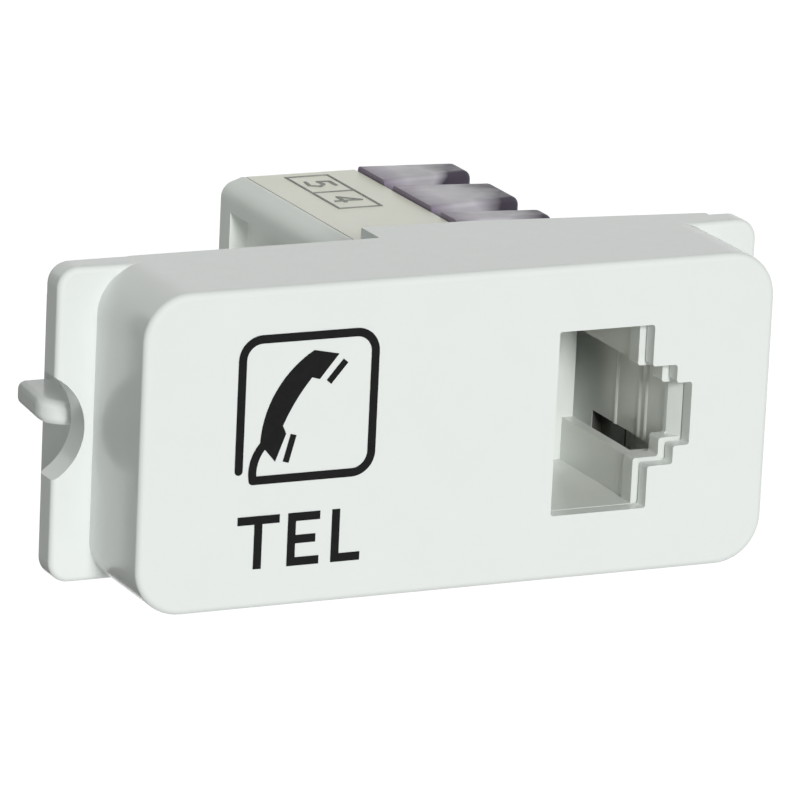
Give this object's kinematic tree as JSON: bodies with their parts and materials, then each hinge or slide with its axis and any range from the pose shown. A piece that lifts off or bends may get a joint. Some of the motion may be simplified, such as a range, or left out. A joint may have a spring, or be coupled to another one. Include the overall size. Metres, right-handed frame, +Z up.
{
  "type": "telephone wall socket",
  "caption": "Oblong white telephone socket insert with a stepped modular jack opening, black telephone sign, notched ears and insulation-cutting wire terminals behind.",
  "frame": {"origin": "middle of the plane in which the fronts of both ears lie, where the socket bears on a wall frame", "axes": "+X to the right as seen from the front, +Y into the wall, +Z up"},
  "size_m": [0.0504, 0.0366, 0.0212],
  "materials": {
    "white_plastic": "smooth, semi-gloss",
    "jack_plastic": "smooth",
    "frame_plastic": "smooth",
    "cream_plastic": "matt",
    "purple_plastic": "translucent",
    "carrier_plastic": "matt",
    "contact_metal": "gold-plated spring bronze",
    "blade_metal": "tin-plated bronze",
    "solder_metal": "bright solder",
    "board_laminate": "lacquered laminate",
    "black_print": "black pad print",
    "label_print": "dark grey print"
  },
  "bodies": {
    "root": {"front_housing": "white_plastic", "jack_body": "jack_plastic", "contact_carrier": "carrier_plastic", "terminal_block": "cream_plastic", "wire_cap_upper": "purple_plastic", "wire_cap_lower": "purple_plastic", "circuit_board": "board_laminate", "solder_joints": "solder_metal", "module_frame": "frame_plastic", "telephone_sign": "black_print", "tel_lettering": "black_print", "terminal_label_upper": "label_print", "terminal_label_lower": "label_print", "contact_wire_3": "contact_metal", "contact_wire_4": "contact_metal", "contact_wire_5": "contact_metal", "contact_wire_6": "contact_metal", "terminal_blade_3": "blade_metal", "terminal_blade_4": "blade_metal", "terminal_blade_5": "blade_metal", "terminal_blade_6": "blade_metal"}
  },
  "joints": []
}
